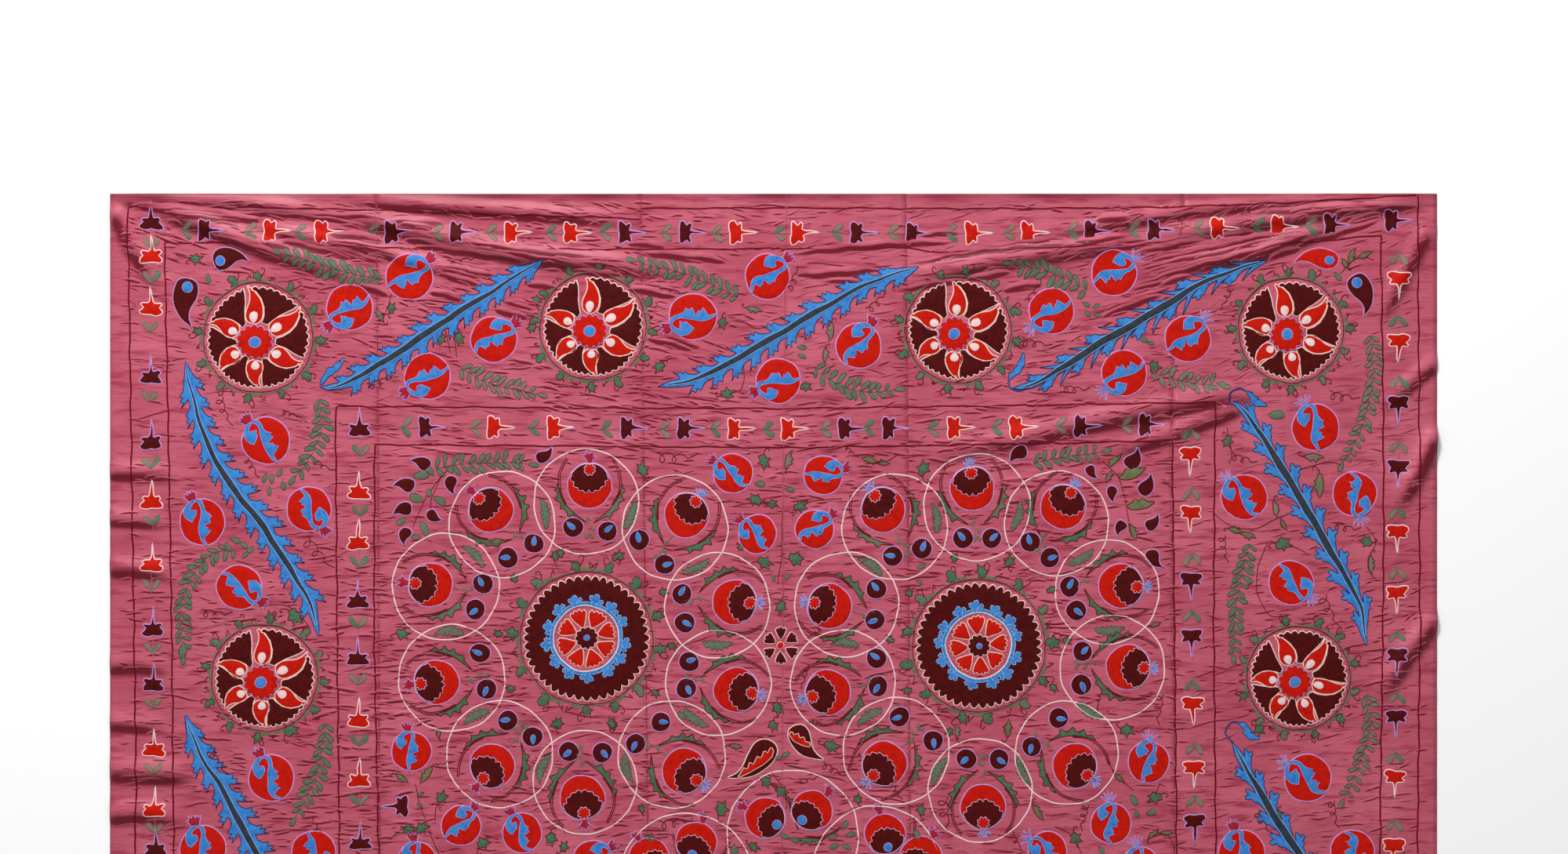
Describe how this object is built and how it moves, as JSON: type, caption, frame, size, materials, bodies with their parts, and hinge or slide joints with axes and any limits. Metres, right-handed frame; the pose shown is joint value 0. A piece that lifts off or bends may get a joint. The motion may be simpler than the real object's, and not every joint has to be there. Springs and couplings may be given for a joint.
{
  "type": "suzani embroidered textile",
  "caption": "Large flat rose silk cloth of joined loom widths, embroidered all over with rosettes, leaves and fruit, lying face up.",
  "frame": {"origin": "on the surface that the cloth lies on, under the middle of the cloth", "axes": "+Z out of the embroidered face, +Y along the cloth's length towards the edge that is at the top of the picture, +X to the right of the face"},
  "size_m": [2.2, 2.686, 0.0124],
  "materials": {
    "ground_silk": "plain-woven silk, soft sheen, slubs along the weft",
    "red_thread": "close couched silk stitches, satin sheen",
    "maroon_thread": "close couched silk stitches, satin sheen",
    "blue_thread": "close couched silk stitches, satin sheen",
    "green_thread": "chain stitch, soft sheen",
    "pale_thread": "chain stitch, soft sheen"
  },
  "bodies": {
    "root": {"panel_1": "ground_silk", "panel_2": "ground_silk", "panel_3": "ground_silk", "panel_4": "ground_silk", "panel_5": "ground_silk"}
  },
  "joints": []
}
